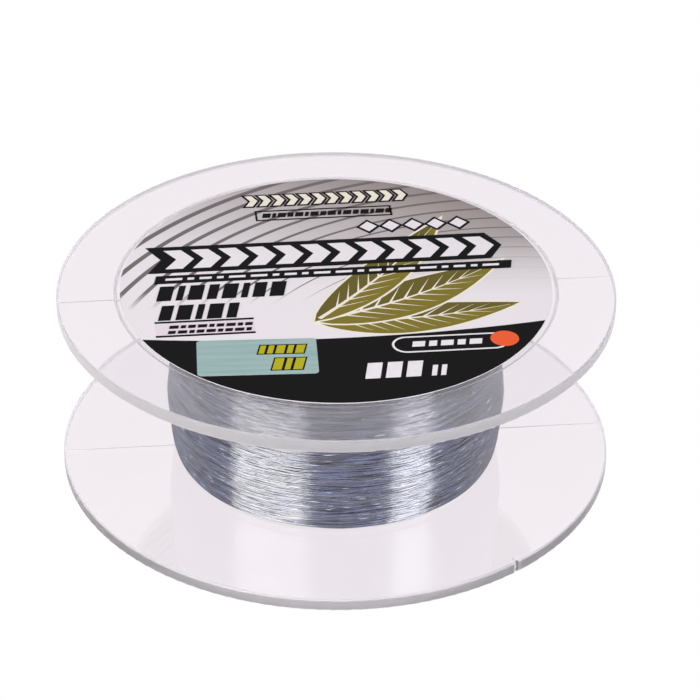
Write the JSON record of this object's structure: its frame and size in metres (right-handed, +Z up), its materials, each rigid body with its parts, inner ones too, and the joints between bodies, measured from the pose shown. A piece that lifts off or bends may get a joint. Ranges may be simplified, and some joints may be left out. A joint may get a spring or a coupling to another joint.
{
  "type": "fishing line spool",
  "caption": "Clear moulded spool with two equal flanges, wound with fine monofilament fishing line, a round label in its top face and an open ribbed core below.",
  "frame": {"origin": "centre of the lower flange's underside, on the spool's axis", "axes": "+Z up along the spool's axis to the labelled face, +X along the mould's parting plane and the label's print"},
  "size_m": [0.1, 0.1, 0.035],
  "materials": {
    "clear_polystyrene": "clear, polished",
    "nylon_line": "glossy strands",
    "label_film": "printed film, satin",
    "sticker_paper": "coated paper"
  },
  "bodies": {
    "root": {"spool_body": "clear_polystyrene", "wound_line": "nylon_line", "top_label": "label_film", "size_sticker": "sticker_paper"}
  },
  "joints": []
}
